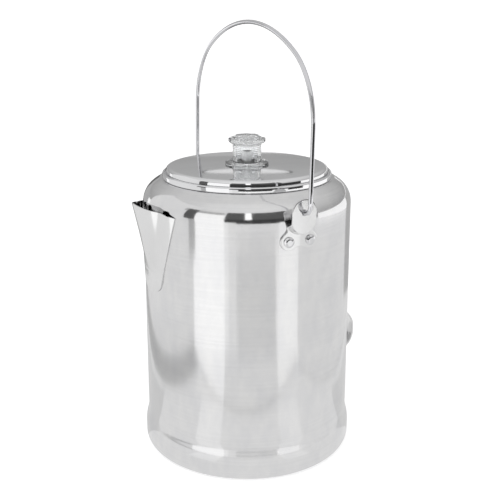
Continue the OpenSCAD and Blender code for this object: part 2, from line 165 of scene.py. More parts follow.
def plain_material(name, colour, roughness, glow):
    material = bpy.data.materials.new(name)
    material.use_nodes = True
    shader = material.node_tree.nodes["Principled BSDF"]
    shader.inputs["Base Color"].default_value = (*colour, 1)
    shader.inputs["Roughness"].default_value = roughness
    shader.inputs["Emission Color"].default_value = (1, 1, 1, 1)
    shader.inputs["Emission Strength"].default_value = glow
    return material


def add_floor():
    """A round white sweep: flat under the pot, and rising gently far away."""
    flat, far, rise, steps, turns = 8.0, 16.0, 1.6, 12, 96
    shares = [k / steps for k in range(1, steps + 1)]
    rings = [(0.5, 0), (flat, 0)] + [(flat + (far - flat) * share, rise * share ** 2) for share in shares]
    points = [(0, 0, 0)]
    for r, z in rings:
        points += [(r * cos(360 * k / turns), r * sin(360 * k / turns), z) for k in range(turns)]
    faces = [(0, 1 + k, 1 + (k + 1) % turns) for k in range(turns)]
    for ring in range(len(rings) - 1):
        near = 1 + ring * turns
        far_ring = near + turns
        for k in range(turns):
            after = (k + 1) % turns
            faces.append((near + k, far_ring + k, far_ring + after, near + after))
    mesh = bpy.data.meshes.new("floor")
    mesh.from_pydata(points, [], faces)
    mesh.shade_smooth()
    mesh.materials.append(plain_material("floor_white", (0.86, 0.86, 0.86), 0.9, FLOOR_GLOW))
    link("floor", mesh)


def add_softbox(name, azimuth, elevation, distance, width, height, radiance):
    """A rectangular area light that no reflection shows."""
    light = bpy.data.lights.new(name, "AREA")
    light.shape = "RECTANGLE"
    light.size = width
    light.size_y = height
    light.energy = radiance * math.pi * width * height
    obj = bpy.data.objects.new(name, light)
    bpy.context.scene.collection.objects.link(obj)
    towards = direction(AZIMUTH + azimuth, elevation)
    obj.location = Vector((0, 0, SOFTBOX_AIM_HEIGHT)) + distance * towards
    obj.rotation_euler = towards.to_track_quat("Z", "Y").to_euler()
    obj.visible_glossy = False


def add_card(name, start, end, low, high, distance, brightness):
    """An upright card, curved round the pot's axis."""
    steps = 24
    ring = [distance * direction(AZIMUTH + start + (end - start) * k / steps, 0) for k in range(steps + 1)]
    add_reflected(name, [[(p.x, p.y, z) for p in ring] for z in (low, high)], brightness)


def add_ground(name, start, end, inner, outer, lift, brightness):
    """A sector of a ring, just over the floor."""
    steps = 64
    ring = [direction(AZIMUTH + start + (end - start) * k / steps, 0) for k in range(steps + 1)]
    add_reflected(name, [[(r * p.x, r * p.y, lift) for p in ring] for r in (inner, outer)], brightness)


def add_table(name, left, right, far, near, lift, brightness):
    """A rectangle just over the floor, square to the camera, with its edges counted from the pot's axis."""
    towards = direction(AZIMUTH, 0)
    across = Vector((-towards.y, towards.x, 0))
    up = Vector((0, 0, lift))
    rows = [[tuple(across * x + towards * y + up) for x in (left, right)] for y in (far, near)]
    add_reflected(name, rows, brightness)


def add_disc(name, azimuth, elevation, distance, half_width, half_height, brightness):
    """An upright oval that faces the pot's axis."""
    out = direction(AZIMUTH + azimuth, elevation)
    side = Vector((out.y, -out.x, 0)).normalized() * half_width
    up = Vector((0, 0, half_height))
    centre = Vector((0, 0, DISC_AIM_HEIGHT)) + distance * out
    rim = [tuple(centre + side * cos(a) + up * sin(a)) for a in range(0, 361, 10)]
    add_reflected(name, [rim, [tuple(centre)] * len(rim)], brightness)


def add_reflected(name, rows, brightness):
    """A glowing strip between two rows of points, which only reflections see."""
    count = len(rows[0])
    mesh = bpy.data.meshes.new(name)
    mesh.from_pydata(rows[0] + rows[1], [], [(k, k + 1, k + count + 1, k + count) for k in range(count - 1)])
    mesh.materials.append(plain_material(name, (0, 0, 0), 1.0, brightness))
    card = link(name, mesh)
    card.visible_camera = False
    card.visible_diffuse = False
    card.visible_shadow = False
    card.visible_transmission = False


def add_world():
    """A tent that is bright on the camera's side and greyer behind the pot."""
    world = bpy.data.worlds.new("studio")
    world.use_nodes = True
    tree = world.node_tree
    place = tree.nodes.new("ShaderNodeTexCoord")
    split = tree.nodes.new("ShaderNodeSeparateXYZ")
    tree.links.new(place.outputs["Generated"], split.inputs[0])
    up = tree.nodes.new("ShaderNodeValToRGB")
    tree.links.new(split.outputs["Z"], up.inputs[0])
    fill_ramp(up, SKY_BY_HEIGHT)
    # The bearing's cosine, moved from -1...1 to 0...1.
    facing = tree.nodes.new("ShaderNodeVectorMath")
    facing.operation = "DOT_PRODUCT"
    facing.inputs[1].default_value = direction(AZIMUTH, 0) / 2
    tree.links.new(place.outputs["Generated"], facing.inputs[0])
    centred = tree.nodes.new("ShaderNodeMath")
    centred.inputs[1].default_value = 0.5
    tree.links.new(facing.outputs["Value"], centred.inputs[0])
    across = tree.nodes.new("ShaderNodeValToRGB")
    tree.links.new(centred.outputs[0], across.inputs[0])
    fill_ramp(across, SKY_BY_BEARING)
    product = tree.nodes.new("ShaderNodeMix")
    product.data_type = "RGBA"
    product.blend_type = "MULTIPLY"
    product.inputs["Factor"].default_value = 1
    tree.links.new(up.outputs[0], product.inputs[MIX_A])
    tree.links.new(across.outputs[0], product.inputs[MIX_B])
    tree.links.new(product.outputs[MIX_RESULT], tree.nodes["Background"].inputs["Color"])
    bpy.context.scene.world = world


def fill_ramp(ramp, stops):
    """Stops are (at, grey)."""
    elements = ramp.color_ramp.elements
    while len(elements) < len(stops):
        elements.new(0.5)
    for element, (at, grey) in zip(elements, stops):
        element.position = at
        element.color = (grey, grey, grey, 1)


def add_light():
    add_world()
    for softbox in SOFTBOXES:
        add_softbox(*softbox)
    for card in CARDS:
        add_card(*card)
    for ground in GROUNDS:
        add_ground(*ground)
    for table in TABLES:
        add_table(*table)
    for disc in DISCS:
        add_disc(*disc)


# ---------------------------------------------------------------- mesh building

SHARP = 35              # edges that bend more than this stay crisp
SAME_POINT = 1e-7       # metres


def rounded(corners, step=4):
    """A path through corners (x, y, radius), each corner turned by an arc of that radius."""
    path = []
    for i, corner in enumerate(corners):
        here = Vector(corner[:2])
        radius = corner[2] if len(corner) > 2 else 0
        if radius == 0 or i in (0, len(corners) - 1):
            path.append(tuple(here))
            continue
        before = (Vector(corners[i - 1][:2]) - here).normalized()
        after = (Vector(corners[i + 1][:2]) - here).normalized()
        half = before.angle(after) / 2
        centre = here + (before + after).normalized() * radius / math.sin(half)
        start = here + before * radius / math.tan(half) - centre
        turn = math.pi - 2 * half
        if before.x * after.y - before.y * after.x > 0:
            turn = -turn
        steps = max(2, math.ceil(math.degrees(abs(turn)) / step))
        for k in range(steps + 1):
            point = centre + Matrix.Rotation(turn * k / steps, 2) @ start
            path.append(tuple(point))
    return path


def offset(path, distance):
    """The path moved sideways, to its left as it runs."""
    moved = []
    for i, point in enumerate(path):
        along = Vector(path[min(i + 1, len(path) - 1)]) - Vector(path[max(i - 1, 0)])
        along.normalize()
        moved.append((point[0] - distance * along.y, point[1] + distance * along.x))
    return moved


def strip(a, b):
    """Faces between two rings of vertex numbers. A ring of one vertex is a pole."""
    if len(a) == 1 and len(b) == 1:
        return []
    count = max(len(a), len(b))
    steps = range(count)
    if len(a) == 1:
        return [(a[0], b[(k + 1) % count], b[k]) for k in steps]
    if len(b) == 1:
        return [(a[k], a[(k + 1) % count], b[0]) for k in steps]
    return [(a[k], a[(k + 1) % count], b[(k + 1) % count], b[k]) for k in steps]


def solid(name, points, faces, sharp=SHARP):
    """A smooth-shaded object from millimetre points, with its normals outward."""
    mesh = bpy.data.meshes.new(name)
    mesh.from_pydata([Vector(p) * MM for p in points], [], faces)
    work = bmesh.new()
    work.from_mesh(mesh)
    bmesh.ops.remove_doubles(work, verts=work.verts, dist=SAME_POINT)
    bmesh.ops.recalc_face_normals(work, faces=work.faces)
    work.to_mesh(mesh)
    work.free()
    mesh.shade_smooth()
    mesh.set_sharp_from_angle(angle=math.radians(sharp))
    return link(name, mesh)


def lathe(name, outline, turns, radius_at=None, sharp=SHARP):
    """A solid turned about the Z axis from a closed outline of (radius, height).
    radius_at(r, z, azimuth) may give another radius than r."""
    points, rings = [], []
    for r, z in outline:
        start = len(points)
        if r < 1e-6:
            points.append((0, 0, z))
        else:
            for k in range(turns):
                azimuth = 360 * k / turns
                reach = radius_at(r, z, azimuth) if radius_at else r
                points.append((reach * cos(azimuth), reach * sin(azimuth), z))
        rings.append(range(start, len(points)))
    faces = []
    for a, b in zip(rings, rings[1:] + rings[:1]):
        faces += strip(a, b)
    return solid(name, points, faces, sharp)


def place(obj, matrix):
    """Moves the mesh itself, so that the object stays at the origin."""
    obj.data.transform(matrix)
    return obj


def at_wall(azimuth, height, radius):
    """The matrix that turns a piece made about +Z so that it stands out of the wall there."""
    turn = Matrix.Rotation(math.radians(azimuth), 4, "Z")
    out = Matrix.Translation(Vector((radius, 0, height)) * MM)
    return turn @ out @ Matrix.Rotation(math.radians(90), 4, "Y")


def cut(obj, cutters):
    """Takes the cutters out of the object, and out of the scene."""
    for cutter in cutters:
        modifier = obj.modifiers.new("cut", "BOOLEAN")
        modifier.object = cutter
        modifier.solver = "EXACT"
    apply_modifiers(obj)
    for cutter in cutters:
        bpy.data.objects.remove(cutter)


def apply_modifiers(obj):
    """Makes the modifiers' result the object's mesh."""
    bpy.context.view_layer.update()
    evaluated = obj.evaluated_get(bpy.context.evaluated_depsgraph_get())
    mesh = bpy.data.meshes.new_from_object(evaluated)
    obj.modifiers.clear()
    obj.data = mesh


def soften(obj, width, angle):
    """Rounds the edges that bend more than that angle."""
    bevel = obj.modifiers.new("soft_edges", "BEVEL")
    bevel.width = width * MM
    bevel.segments = 2
    bevel.limit_method = "ANGLE"
    bevel.angle_limit = math.radians(angle)
    bevel.harden_normals = True
    apply_modifiers(obj)


def sweep(name, path, sides, section, sharp=SHARP):
    """A solid along a path of points in the X-Z or Y-Z plane.
    section(i, k) gives the offset (across the plane, in the plane) of side k at path point i."""
    points, rings = [], []
    plane = Vector((0, 1, 0)) if all(abs(p.y) < 1e-6 for p in path) else Vector((1, 0, 0))
    for i, point in enumerate(path):
        along = (path[min(i + 1, len(path) - 1)] - path[max(i - 1, 0)]).normalized()
        normal = plane.cross(along)
        start = len(points)
        for k in range(sides):
            across, out = section(i, k)
            points.append(point + plane * across + normal * out)
        rings.append(range(start, len(points)))
    faces = [face for a, b in zip(rings, rings[1:]) for face in strip(a, b)]
    faces += [tuple(rings[0]), tuple(rings[-1])]
    return solid(name, points, faces, sharp)


def sheet(name, outer, inner):
    """A closed sheet between two grids of points, row by row."""
    rows, columns = len(outer), len(outer[0])
    points = [p for grid in (outer, inner) for row in grid for p in row]
    layer = rows * columns

    def at(row, column, side):
        return side * layer + row * columns + column

    faces = []
    for i in range(rows - 1):
        for j in range(columns - 1):
            quad = [(i, j), (i, j + 1), (i + 1, j + 1), (i + 1, j)]
            faces.append([at(*corner, 0) for corner in quad])
            faces.append([at(*corner, 1) for corner in reversed(quad)])
    border = [(0, j) for j in range(columns - 1)] + [(i, columns - 1) for i in range(rows - 1)]
    border += [(rows - 1, j) for j in range(columns - 1, 0, -1)] + [(i, 0) for i in range(rows - 1, 0, -1)]
    for here, there in zip(border, border[1:] + border[:1]):
        faces.append([at(*there, 0), at(*here, 0), at(*here, 1), at(*there, 1)])
    return solid(name, points, faces)


def install(obj, node):
    """Gives a finished piece its material, and puts it in the place of its CAD node."""
    obj.data.materials.clear()
    obj.data.materials.append(MATERIALS[SLOT[node]])
    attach(obj, BODY[node])
    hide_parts(node)


# ---------------------------------------------------------------- materials

class Nodes:
    """Short names for building a material's node tree."""

    def __init__(self, name):
        self.material = bpy.data.materials.new(name)
        self.material.use_nodes = True
        self.tree = self.material.node_tree
        self.shader = self.tree.nodes["Principled BSDF"]

    def add(self, kind, **values):
        node = self.tree.nodes.new("ShaderNode" + kind)
        for key, value in values.items():
            setattr(node, key, value)
        return node

    def link(self, output, target):
        self.tree.links.new(output, target)

    def set(self, **values):
        for key, value in values.items():
            self.shader.inputs[key.replace("_", " ")].default_value = value

    def position(self, scale=(1, 1, 1)):
        """Object coordinates, in metres, times a scale on each axis."""
        coordinates = self.add("TexCoord")
        mapping = self.add("Mapping")
        mapping.inputs["Scale"].default_value = scale
        self.link(coordinates.outputs["Object"], mapping.inputs["Vector"])
        return mapping.outputs["Vector"]

    def round_the_axis(self, turn_scale, height_scale):
        """Coordinates that run round the pot and up it, so that grain follows the spinning."""
        coordinates = self.add("TexCoord")
        split = self.add("SeparateXYZ")
        self.link(coordinates.outputs["Object"], split.inputs[0])
        angle = self.add("Math", operation="ARCTAN2")
        self.link(split.outputs["Y"], angle.inputs[0])
        self.link(split.outputs["X"], angle.inputs[1])
        turn = self.math("SINE", angle.outputs[0])
        other = self.math("COSINE", angle.outputs[0])
        join = self.add("CombineXYZ")
        self.link(self.math("MULTIPLY", turn, turn_scale), join.inputs["X"])
        self.link(self.math("MULTIPLY", other, turn_scale), join.inputs["Y"])
        self.link(self.math("MULTIPLY", split.outputs["Z"], height_scale), join.inputs["Z"])
        return join.outputs[0]

    def math(self, operation, a, b=None):
        node = self.add("Math", operation=operation)
        for socket, value in zip(node.inputs, (a, b)):
            if value is None:
                continue
            if isinstance(value, (int, float)):
                socket.default_value = value
            else:
                self.link(value, socket)
        return node.outputs[0]

    def noise(self, vector, detail, roughness):
        node = self.add("TexNoise")
        node.inputs["Scale"].default_value = 1
        node.inputs["Detail"].default_value = detail
        node.inputs["Roughness"].default_value = roughness
        self.link(vector, node.inputs["Vector"])
        return node.outputs["Fac"]

    def ramp(self, value, *stops):
        """A grey ramp: stops are (at, grey)."""
        node = self.add("ValToRGB")
        fill_ramp(node, stops)
        self.link(value, node.inputs[0])
        return node.outputs[0]

    def mix(self, factor, a, b, blend="MIX"):
        node = self.add("Mix", data_type="RGBA", blend_type=blend)
        sockets = node.inputs["Factor"], node.inputs[MIX_A], node.inputs[MIX_B]
        for socket, value in zip(sockets, (factor, a, b)):
            if isinstance(value, tuple):
                socket.default_value = (*value, 1)
            elif isinstance(value, (int, float)):
                socket.default_value = value
            else:
                self.link(value, socket)
        return node.outputs[MIX_RESULT]

    def bump(self, height, distance, below=None):
        """A bump that is that many millimetres high, on top of another one if given."""
        node = self.add("Bump")
        node.inputs["Distance"].default_value = distance * MM
        node.inputs["Strength"].default_value = 1
        self.link(height, node.inputs["Height"])
        if below is not None:
            self.link(below, node.inputs["Normal"])
        return node.outputs[0]

    def brushed_round_the_axis(self, amount):
        """Stretches highlights as fine lines round the axis do."""
        self.set(Anisotropic=amount, Anisotropic_Rotation=0.25)
        tangent = self.add("Tangent", direction_type="RADIAL", axis="Z")
        self.link(tangent.outputs[0], self.shader.inputs["Tangent"])


STAIN = 0.03            # how much darker and lighter the metal is in its patches


def metal(name, colour, low, high, grain_turn, grain_up, grain_depth, brushed=0.0):
    """Spun or rolled metal: colour, roughness between low and high, and a fine grain round the axis."""
    n = Nodes(name)
    n.set(Metallic=1.0)
    fine = n.noise(n.round_the_axis(grain_turn, grain_up), 4.0, 0.6)
    broad = n.noise(n.position((28, 28, 28)), 3.0, 0.55)
    smudge = n.noise(n.position((90, 90, 60)), 5.0, 0.6)
    darker = tuple(c * (1 - STAIN) for c in colour)
    lighter = tuple(min(1, c * (1 + STAIN)) for c in colour)
    n.link(n.mix(n.ramp(broad, (0.35, 0.0), (0.65, 1.0)), darker, lighter), n.shader.inputs["Base Color"])
    wear = n.math("ADD", n.math("MULTIPLY", fine, 0.6), n.math("MULTIPLY", smudge, 0.4))
    n.link(n.ramp(wear, (0.3, low), (0.7, high)), n.shader.inputs["Roughness"])
    n.link(n.bump(fine, grain_depth), n.shader.inputs["Normal"])
    if brushed:
        n.brushed_round_the_axis(brushed)
    return n.material


FOOT_POLISH = 0.028, 0.041          # metres up the pot where the foot's polish turns to satin
SHOULDER_POLISH = 0.2225, 0.2242    # and where the satin turns to the shoulder's polish


def pot_metal():
    """Satin wall brushed round the pot, with a polished shoulder and foot."""
    n = Nodes("pot_metal")
    n.set(Metallic=1.0)
    n.brushed_round_the_axis(0.7)
    height = n.add("SeparateXYZ")
    n.link(n.position(), height.inputs[0])
    shoulder = n.ramp(height.outputs["Z"], (SHOULDER_POLISH[0], 0.0), (SHOULDER_POLISH[1], 1.0))
    foot = n.ramp(height.outputs["Z"], (FOOT_POLISH[0], 1.0), (FOOT_POLISH[1], 0.0))
    polished = n.math("ADD", shoulder, foot)
    lines = n.noise(n.round_the_axis(0.35, 2600), 3.0, 0.65)
    streaks = n.noise(n.round_the_axis(1.2, 420), 3.0, 0.6)
    smudge = n.noise(n.position((70, 70, 34)), 5.0, 0.6)
    tone = n.mix(n.ramp(smudge, (0.35, 0.0), (0.68, 1.0)), (0.775, 0.775, 0.785), (0.835, 0.832, 0.83))
    brushed = n.ramp(n.noise(n.round_the_axis(0.9, 900), 2.0, 0.5), (0.35, 0.97), (0.65, 1.0))
    n.link(n.mix(1.0, tone, brushed, "MULTIPLY"), n.shader.inputs["Base Color"])
    wear = n.math("ADD", n.math("MULTIPLY", lines, 0.6), n.math("MULTIPLY", streaks, 0.4))
    satin = n.ramp(wear, (0.32, 0.10), (0.68, 0.16))
    gloss = n.ramp(smudge, (0.3, 0.07), (0.7, 0.13))
    n.link(n.mix(polished, satin, gloss), n.shader.inputs["Roughness"])
    depth = n.math("MULTIPLY", lines, n.math("SUBTRACT", 1.0, n.math("MULTIPLY", polished, 0.9)))
    n.link(n.bump(depth, 0.002, below=n.bump(streaks, 0.002)), n.shader.inputs["Normal"])
    return n.material


def clear_plastic():
    """Clear moulded plastic with a faint flow ripple and fine scratches."""
    n = Nodes("clear_plastic")
    n.set(Transmission_Weight=0.96, IOR=1.42, Base_Color=(0.97, 0.98, 0.985, 1))
    scratches = n.noise(n.position((700, 700, 90)), 4.0, 0.6)
    ripple = n.noise(n.position((160, 160, 240)), 2.0, 0.5)
    n.link(n.ramp(scratches, (0.4, 0.015), (0.75, 0.07)), n.shader.inputs["Roughness"])
    n.link(n.bump(ripple, 0.03), n.shader.inputs["Normal"])
    return n.material


MATERIALS = {
    "pot_aluminium": pot_metal(),
    "lid_aluminium": metal("lid_metal", (0.84, 0.84, 0.85), 0.03, 0.08, 0.5, 900, 0.002, brushed=0.3),
    "sheet_aluminium": metal("sheet_metal", (0.83, 0.83, 0.83), 0.1, 0.2, 60, 400, 0.01),
    "rivet_aluminium": metal("rivet_metal", (0.78, 0.78, 0.79), 0.06, 0.14, 160, 1600, 0.008),
    "bail_wire": metal("wire_metal", (0.75, 0.75, 0.77), 0.02, 0.07, 90, 90, 0.002),
    "clear_plastic": clear_plastic(),
    "inner_aluminium": metal("inner_metal", (0.88, 0.88, 0.88), 0.25, 0.4, 1, 1200, 0.02, brushed=0.4),
}


# ---------------------------------------------------------------- pot

FOOT_CORNER = 8
FOOT_BAND_Z = 21        # the swelled foot is upright up to here, and the wall starts at FOOT_BLEND_Z
FOOT_BLEND_Z = 30.5
FOOT_BLEND_R = 30
WALL_LOW_R = 90.15
WALL_HIGH_R = 89.35
WALL = 1.2
SHOULDER_Z = 221.5
SHOULDER_R = 20
LEDGE_R = 74.7
LEDGE_ROUND = 1.2
MOUTH_R = 69.5
MOUTH_ROUND = 1.6
MOUTH_DROP = 5          # the mouth's edge is turned down this far
SEAT_GAP = 0.1          # a piece that lies on another stands this far off it
foot_r = span("pot_body")[1].x
ledge_z = span("pot_body")[1].z


def wall_r(z):
    """The drawn wall narrows a little towards the shoulder."""
    return WALL_LOW_R + (WALL_HIGH_R - WALL_LOW_R) * smooth((z - FOOT_BLEND_Z) / (SHOULDER_Z - FOOT_BLEND_Z))


def pot_outline():
    """Up the outside from the middle of the base, over the mouth, and back down the inside.
    The shoulder's arc starts upright on the wall and ends at the slant that meets the ledge's edge."""
    centre_r = WALL_HIGH_R - SHOULDER_R
    run, rise = LEDGE_R - centre_r, ledge_z - SHOULDER_Z
    turn = math.atan2(rise, run) - math.acos(SHOULDER_R / math.hypot(run, rise))
    wall = [(wall_r(z), z) for z in range(40, 216, 8)]
    outer = rounded([
        (0, 0), (foot_r, 0, FOOT_CORNER), (foot_r, FOOT_BAND_Z, FOOT_BLEND_R),
        (WALL_LOW_R, FOOT_BLEND_Z, FOOT_BLEND_R), *wall,
        (WALL_HIGH_R, SHOULDER_Z + SHOULDER_R * math.tan(turn / 2), SHOULDER_R),
        (LEDGE_R, ledge_z, LEDGE_ROUND), (MOUTH_R, ledge_z, MOUTH_ROUND),
        (MOUTH_R, ledge_z - MOUTH_DROP)], step=2.5)
    inner = offset(outer, WALL)
    inner[0] = (0, WALL)
    inner[-1] = (MOUTH_R + WALL, ledge_z - MOUTH_DROP)
    return outer + inner[::-1]


STRAINER_HOLE_R = 5
STRAINER_ROWS = 3       # the top row has as many holes as there are rows, and each lower one has one less
STRAINER_TOP = 220.5
STRAINER_PITCH = 15
STRAINER_TURN = 8.5     # half the turn from a hole to the next in its row
STRAINER_CUT = 8        # the cutters reach this far in and out from STRAINER_CUT_R
STRAINER_CUT_R = 90


def rod(radius, half_length):
    outline = [(0, -half_length), (radius, -half_length), (radius, half_length), (0, half_length)]
    return lathe("rod", outline, 40)


def strainer_cutters():
    for row in range(STRAINER_ROWS):
        last = STRAINER_ROWS - 1 - row
        height = STRAINER_TOP - row * STRAINER_PITCH
        for k in range(last + 1):
            azimuth = 180 + (2 * k - last) * STRAINER_TURN
            yield place(rod(STRAINER_HOLE_R, STRAINER_CUT), at_wall(azimuth, height, STRAINER_CUT_R))


def make_pot():
    pot = lathe("pot_body_fine", pot_outline(), 256)
    cut(pot, list(strainer_cutters()))
    install(pot, "pot_body")


# ---------------------------------------------------------------- spout

SPOUT_FOOT_TURN = 11.9  # half the sheet's width on the wall, as a turn round the pot's axis
SPOUT_LIP_TURN = 23.9
SPOUT_FOOT_ROUND = 11
SPOUT_FLAT = 17         # the sheet lies on the wall this far above its foot
SPOUT_REACH = 13.5
SPOUT_NOSE = 0.16       # how blunt the beak's fold is, as a share of the half width
SPOUT_CREASE = 0.62     # where the flange that hugs the wall folds out into the beak, as such a share
SPOUT_CREASE_WIDTH = 0.13
SPOUT_CREASE_DEPTH = 2.4
SPOUT_WALL = 1.0
SPOUT_EDGE = 0.3
SPOUT_LIP_DROP = 7.2
spout_low, spout_high = span("spout")


def spout_point(s, u, out):
    """A point of the sheet: s runs from 0 at the foot to 1 at the lip, u from -1 to 1 between the edges, and
    out is counted from the sheet's inner face."""
    foot = spout_low.z + SPOUT_FOOT_ROUND * (1 - math.sqrt(1 - u * u))
    lip = spout_high.z - SPOUT_LIP_DROP * abs(u)
    z = foot + (lip - foot) * s
    azimuth = 180 + u * (SPOUT_FOOT_TURN + (SPOUT_LIP_TURN - SPOUT_FOOT_TURN) * s)
    nose = math.hypot(1, SPOUT_NOSE) - SPOUT_NOSE
    fold = 1 - (math.hypot(u, SPOUT_NOSE) - SPOUT_NOSE) / nose
    fold_z = spout_low.z + SPOUT_FLAT
    stand = max(0, (z - fold_z) / (spout_high.z - fold_z))
    crease = math.exp(-((abs(u) - SPOUT_CREASE) / SPOUT_CREASE_WIDTH) ** 2)
    r = wall_r(z) + SEAT_GAP + out + stand * (SPOUT_REACH * fold - SPOUT_CREASE_DEPTH * crease)
    return r * cos(azimuth), r * sin(azimuth), z


def make_spout():
    rows, half = 72, 40
    columns = range(-half, half + 1)

    def face(out):
        return [[spout_point(i / rows, j / half, out) for j in columns] for i in range(rows + 1)]

    spout = sheet("spout_fine", face(SPOUT_WALL), face(0))
    soften(spout, SPOUT_EDGE, 50)
    install(spout, "spout")


# ---------------------------------------------------------------- ears and rivets

PIVOT_Z = 230.7
BOSS_LOW_Z = PIVOT_Z - 6
BOSS_R = 10.75
BOSS_FACE = 97.5        # the boss's face stands this far from the pot's axis
BOSS_RAMP = 1.9
EAR_WALL = 1.6
EAR_GAP = 0.06
EAR_EDGE = 0.45         # the round of the ear's edge
EAR_HOLE_R = 2.1
EAR_HOLE_CHAMFER = 0.7
EAR_RIVET_Z = 206.5
EAR_RIVET_SIDE = 9.4
EAR_NECK_Z = 213        # lower end of the tongue's middle line
EAR_FILLET = 4
LOBE_R = 7
EAR_CENTRE_Z = 214


def soft_min(a, b, fillet):
    """The smaller of two distances, with the corner between their shapes filled."""
    share = max(fillet - abs(a - b), 0) / fillet
    return min(a, b) - share * share * fillet / 4


def ear_distance(u, z):
    """Distance from the ear's outline, negative inside: a tall tongue with two rivet lobes."""
    tongue = math.hypot(u, z - min(max(z, EAR_NECK_Z), PIVOT_Z)) - BOSS_R
    lobe = math.hypot(abs(u) - EAR_RIVET_SIDE, z - EAR_RIVET_Z) - LOBE_R
    return soft_min(tongue, lobe, EAR_FILLET)


def ear_reach(angle):
    """How far the outline is from the ear's centre in one direction, found by halving."""
    near, far = 0.0, 40.0
    for _ in range(24):
        middle = (near + far) / 2
        if ear_distance(middle * cos(angle), EAR_CENTRE_Z + middle * sin(angle)) < 0:
            near = middle
        else:
            far = middle
    return near


def ear_height(u, z):
    """Height of the ear's outer face over the pot's axis plane: flange on the wall, boss standing off."""
    wall = wall_r(z)
    flange = math.sqrt(wall * wall - u * u) + EAR_WALL
    away = abs(u) if z > BOSS_LOW_Z else math.hypot(u, z - BOSS_LOW_Z)
    return flange + (BOSS_FACE - flange) * smooth((BOSS_R + BOSS_RAMP - away) / BOSS_RAMP)


def pin_hole_cutter():
    """A hole countersunk at the boss's face, made along Z from behind the ear to in front of it."""
    behind, before, wide = 80, 110, EAR_HOLE_R + EAR_HOLE_CHAMFER
    outline = [(0, behind), (EAR_HOLE_R, behind), (EAR_HOLE_R, BOSS_FACE - EAR_HOLE_CHAMFER / 2),
               (wide, BOSS_FACE + EAR_HOLE_CHAMFER / 2), (wide, before), (0, before)]
    return lathe("hole", outline, 40)


def make_ear(node, azimuth):
    """Rings of points from the ear's centre to its rounded edge, on its outer face and its inner one."""
    rays, rings = 160, 40
    reaches = [ear_reach(360 * k / rays) for k in range(rays)]
    # share of the way to the edge, and on the edge's round how far inside the outline and below the face
    steps = [(k / rings, 0, 0) for k in range(rings)]
    steps += [(1, EAR_EDGE * (1 - sin(a)), EAR_EDGE * (1 - cos(a))) for a in (0, 30, 60, 90)]

    def ring(share, inset, drop, inner):
        row = []
        for k, reach in enumerate(reaches):
            r = (reach - EAR_EDGE) * share if inset == 0 and drop == 0 else reach - inset
            u, z = r * cos(360 * k / rays), EAR_CENTRE_Z + r * sin(360 * k / rays)
            height = ear_height(u, z) + EAR_GAP
            row.append((height - EAR_WALL + drop if inner else height - drop, u, z))
        return row

    rows = [ring(*step, False) for step in steps] + [ring(*step, True) for step in steps[::-1]]
    points, numbers = [], []
    for row in rows:
        pole = row[0] == row[rays // 2]
        numbers.append(range(len(points), len(points) + (1 if pole else rays)))
        points += row[:1] if pole else row
    ear = solid(f"{node}_fine", points, [f for a, b in zip(numbers, numbers[1:]) for f in strip(a, b)])
    cut(ear, [place(pin_hole_cutter(), at_wall(0, PIVOT_Z, 0))])
    place(ear, Matrix.Rotation(math.radians(azimuth), 4, "Z"))
    install(ear, node)


RIVET_HEAD_R = 4.3
RIVET_HEAD_H = 2.3
RIVET_RIM_H = 0.8
RIVET_FLAT_R = 2.9      # where the head's dome would meet its flat
RIVET_SHANK_R = 2
RIVET_TAIL_R = 3.6
RIVET_TAIL_H = 1.2
RIVET_TAIL_GAP = 0.12


def make_rivet(node, azimuth, height, plate):
    """A struck rivet: domed head with a small flat outside, flattened tail inside."""
    inside = -WALL - RIVET_TAIL_GAP
    tail, crown = inside - RIVET_TAIL_H, plate + RIVET_HEAD_H
    outline = rounded([
        (0, tail), (RIVET_TAIL_R, tail, 0.5), (RIVET_TAIL_R, inside, 0.3), (RIVET_SHANK_R, inside),
        (RIVET_SHANK_R, plate), (RIVET_HEAD_R, plate, 0.25), (RIVET_HEAD_R, plate + RIVET_RIM_H, 0.5),
        (RIVET_FLAT_R, crown, 2.2), (0, crown)], step=6)
    rivet = lathe(f"{node}_fine", outline, 48, sharp=50)
    place(rivet, at_wall(azimuth, height, wall_r(height) + SEAT_GAP))
    install(rivet, node)


# ---------------------------------------------------------------- bail

WIRE_R = 1.75
HALF_SPAN = 105.3
SPRING_Z = 295          # the legs are straight up to here
BAIL_TOP_Z = 369.6
CROWN_R = 147
BAIL_LEAN = 1
PIN_BEND = 6
PIN_HEAD_R = 2.9
PIN_HEAD_H = 2
PIN_HEAD_ROUND = 0.5, 0.4           # across the pin and along it
PIN_END = 91.2
LEG_STEPS = 16
ARC_STEPS = 24


